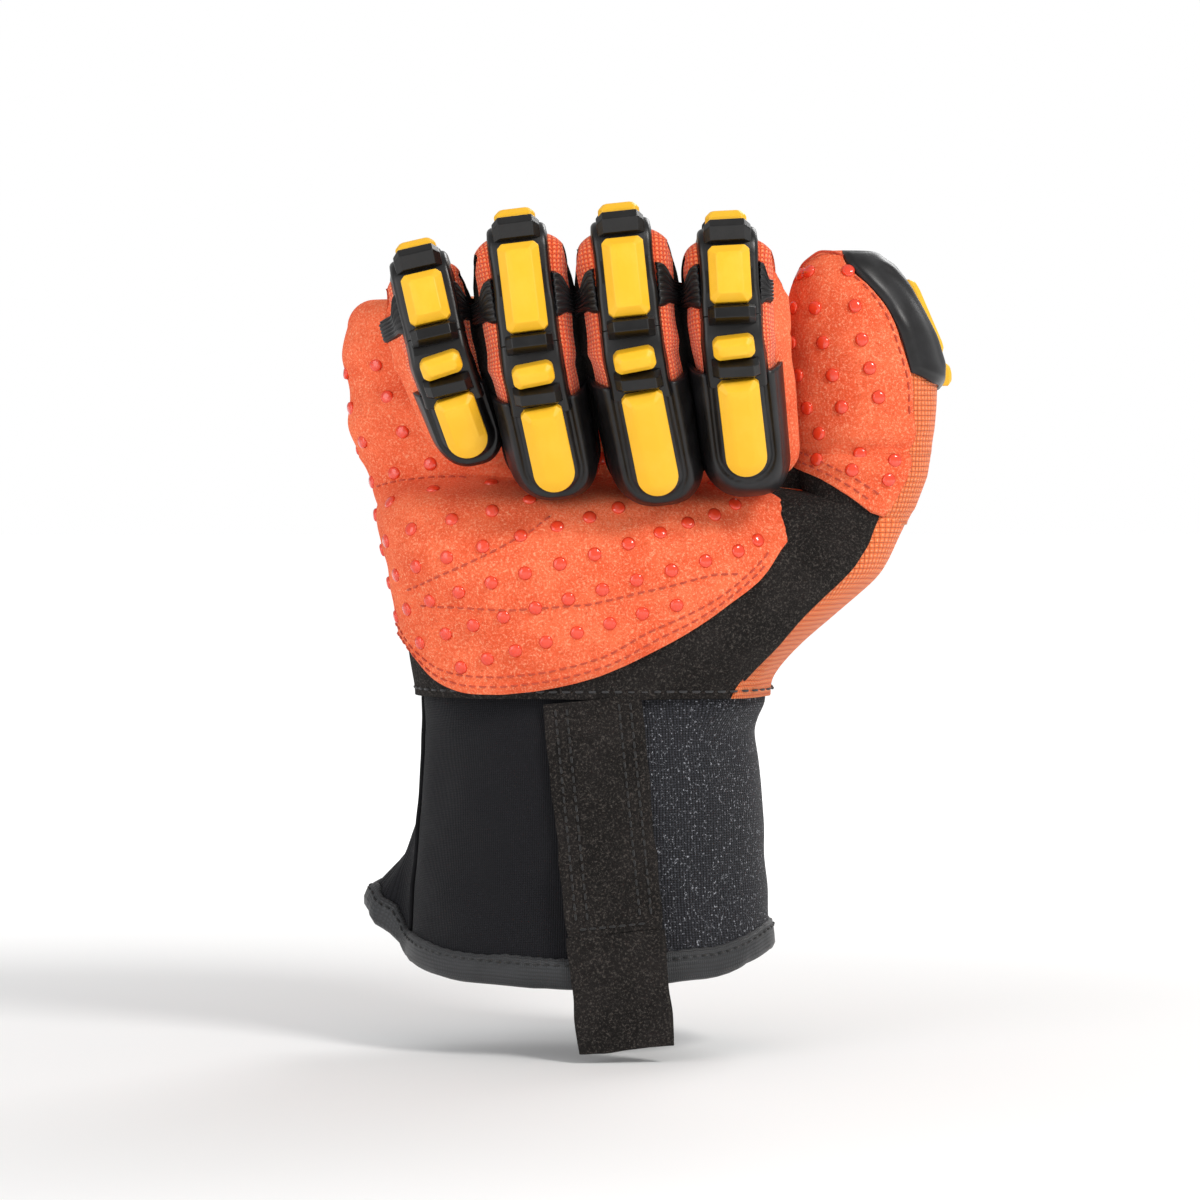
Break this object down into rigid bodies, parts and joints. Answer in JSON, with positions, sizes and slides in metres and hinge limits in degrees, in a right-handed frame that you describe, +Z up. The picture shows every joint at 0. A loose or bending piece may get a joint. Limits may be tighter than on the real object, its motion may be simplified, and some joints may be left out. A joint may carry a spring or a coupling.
{
  "type": "work glove",
  "caption": "Impact work glove for the right hand, closed to a fist, with moulded finger guards, a dotted suede palm patch and a stretch cuff with a pull tab.",
  "frame": {"origin": "centre of the bounding box's underside, level with the free end of the pull tab", "axes": "+Z up from the cuff to the knuckles, -Y the way the fingers curl and the palm faces, +X the thumb side"},
  "size_m": [0.1492, 0.0882, 0.2081],
  "materials": {
    "finger_knit": "coarse orange ribbed knit",
    "orange_suede": "orange microfibre suede with raised silicone dots",
    "woven_back": "coarse orange basket weave",
    "black_suede": "black microfibre suede",
    "black_rubber": "satin moulded thermoplastic rubber",
    "yellow_rubber": "satin moulded thermoplastic rubber",
    "neoprene": "knit faced neoprene",
    "cuff_knit": "coarse charcoal knit",
    "hem_binding": "satin binding tape"
  },
  "bodies": {
    "hand": {"palm_panel": "black_suede", "back_panel": "woven_back", "palm_patch": "orange_suede", "back_guard": "black_rubber", "back_pad": "yellow_rubber"},
    "index_proximal": {"index_proximal_sleeve": "finger_knit", "index_proximal_guard": "black_rubber", "index_proximal_pad": "yellow_rubber", "index_upper_joint_pad": "yellow_rubber"},
    "index_middle": {"index_middle_sleeve": "finger_knit", "index_middle_guard": "black_rubber", "index_middle_pad": "yellow_rubber"},
    "index_tip": {"index_tip_sleeve": "orange_suede", "index_tip_cap": "black_rubber", "index_lower_joint_pad": "yellow_rubber", "index_tip_pad": "yellow_rubber"},
    "middle_proximal": {"middle_proximal_sleeve": "finger_knit", "middle_proximal_guard": "black_rubber", "middle_proximal_pad": "yellow_rubber", "middle_upper_joint_pad": "yellow_rubber"},
    "middle_middle": {"middle_middle_sleeve": "finger_knit", "middle_middle_guard": "black_rubber", "middle_middle_pad": "yellow_rubber"},
    "middle_tip": {"middle_tip_sleeve": "orange_suede", "middle_tip_cap": "black_rubber", "middle_lower_joint_pad": "yellow_rubber", "middle_tip_pad": "yellow_rubber"},
    "ring_proximal": {"ring_proximal_sleeve": "finger_knit", "ring_proximal_guard": "black_rubber", "ring_proximal_pad": "yellow_rubber", "ring_upper_joint_pad": "yellow_rubber"},
    "ring_middle": {"ring_middle_sleeve": "finger_knit", "ring_middle_guard": "black_rubber", "ring_middle_pad": "yellow_rubber"},
    "ring_tip": {"ring_tip_sleeve": "orange_suede", "ring_tip_cap": "black_rubber", "ring_lower_joint_pad": "yellow_rubber", "ring_tip_pad": "yellow_rubber"},
    "pinky_proximal": {"pinky_proximal_sleeve": "finger_knit", "pinky_proximal_guard": "black_rubber", "pinky_proximal_pad": "yellow_rubber", "pinky_upper_joint_pad": "yellow_rubber"},
    "pinky_middle": {"pinky_middle_sleeve": "finger_knit", "pinky_middle_guard": "black_rubber", "pinky_middle_pad": "yellow_rubber"},
    "pinky_tip": {"pinky_tip_sleeve": "orange_suede", "pinky_tip_cap": "black_rubber", "pinky_lower_joint_pad": "yellow_rubber", "pinky_tip_pad": "yellow_rubber"},
    "thumb_base": {"thumb_base_sleeve": "orange_suede"},
    "thumb_tip": {"thumb_tip_sleeve": "orange_suede", "thumb_guard": "black_rubber", "thumb_pad": "yellow_rubber"},
    "cuff": {"cuff_front_panel": "neoprene", "cuff_side_panel": "cuff_knit", "cuff_back_panel": "neoprene", "hem_binding": "hem_binding", "pull_tab_root": "black_suede"},
    "tab": {"pull_tab": "black_suede"}
  },
  "joints": [
    {"name": "index_knuckle", "type": "hinge", "parent": "hand", "child": "index_proximal", "pos_m": [0.01935, 0.02571, 0.18922], "axis": [-0.9986, 0, -0.0523], "range_deg": [0, 75]},
    {"name": "index_middle_joint", "type": "hinge", "parent": "index_proximal", "child": "index_middle", "pos_m": [0.01891, -0.03227, 0.19767], "axis": [-0.9986, 0, -0.0523], "range_deg": [0, 75]},
    {"name": "index_tip_joint", "type": "hinge", "parent": "index_middle", "child": "index_tip", "pos_m": [0.02016, -0.03607, 0.1737], "axis": [-0.9986, 0, -0.0523], "range_deg": [0, 26.5]},
    {"name": "middle_knuckle", "type": "hinge", "parent": "hand", "child": "middle_proximal", "pos_m": [-0.00565, 0.02571, 0.19022], "axis": [-0.9945, 0, -0.1045], "range_deg": [0, 75]},
    {"name": "middle_middle_joint", "type": "hinge", "parent": "middle_proximal", "child": "middle_middle", "pos_m": [-0.00664, -0.03231, 0.19967], "axis": [-0.9945, 0, -0.1045], "range_deg": [0, 75]},
    {"name": "middle_tip_joint", "type": "hinge", "parent": "middle_middle", "child": "middle_tip", "pos_m": [-0.00359, -0.03642, 0.17062], "axis": [-0.9945, 0, -0.1045], "range_deg": [0, 26.5]},
    {"name": "ring_knuckle", "type": "hinge", "parent": "hand", "child": "ring_proximal", "pos_m": [-0.03035, 0.02571, 0.18772], "axis": [-0.9925, 0, -0.1219], "range_deg": [0, 75]},
    {"name": "ring_middle_joint", "type": "hinge", "parent": "ring_proximal", "child": "ring_middle", "pos_m": [-0.03168, -0.03024, 0.19852], "axis": [-0.9925, 0, -0.1219], "range_deg": [0, 75]},
    {"name": "ring_tip_joint", "type": "hinge", "parent": "ring_middle", "child": "ring_tip", "pos_m": [-0.02781, -0.03442, 0.16703], "axis": [-0.9925, 0, -0.1219], "range_deg": [0, 26.5]},
    {"name": "pinky_knuckle", "type": "hinge", "parent": "hand", "child": "pinky_proximal", "pos_m": [-0.05295, 0.02471, 0.18122], "axis": [-0.9744, 0, -0.225], "range_deg": [0, 75]},
    {"name": "pinky_middle_joint", "type": "hinge", "parent": "pinky_proximal", "child": "pinky_middle", "pos_m": [-0.05529, -0.02419, 0.19135], "axis": [-0.9744, 0, -0.225], "range_deg": [0, 75]},
    {"name": "pinky_tip_joint", "type": "hinge", "parent": "pinky_middle", "child": "pinky_tip", "pos_m": [-0.05019, -0.02819, 0.16928], "axis": [-0.9744, 0, -0.225], "range_deg": [0, 26.5]},
    {"name": "thumb_base_swing", "type": "hinge", "parent": "hand", "child": "thumb_base", "pos_m": [0.06635, 0.00571, 0.13172], "axis": [0, 1, 0], "range_deg": [0, 20]},
    {"name": "thumb_joint", "type": "hinge", "parent": "thumb_base", "child": "thumb_tip", "pos_m": [0.05285, 0.00171, 0.14972], "axis": [1, 0, 0], "range_deg": [0, 40]},
    {"name": "wrist_bend", "type": "hinge", "parent": "hand", "child": "cuff", "pos_m": [-0.01415, 0.01171, 0.08572], "axis": [1, 0, 0], "range_deg": [-15, 15]},
    {"name": "tab_lift", "type": "hinge", "parent": "cuff", "child": "tab", "pos_m": [-0.00794, -0.02252, 0.02959], "axis": [-0.9951, -0.0057, -0.0992], "range_deg": [0, 120]}
  ],
  "couplings": [
    {"joint": "index_tip_joint", "follows": "index_middle_joint", "ratio": 0.35},
    {"joint": "middle_tip_joint", "follows": "middle_middle_joint", "ratio": 0.35},
    {"joint": "ring_tip_joint", "follows": "ring_middle_joint", "ratio": 0.35},
    {"joint": "pinky_tip_joint", "follows": "pinky_middle_joint", "ratio": 0.35}
  ]
}
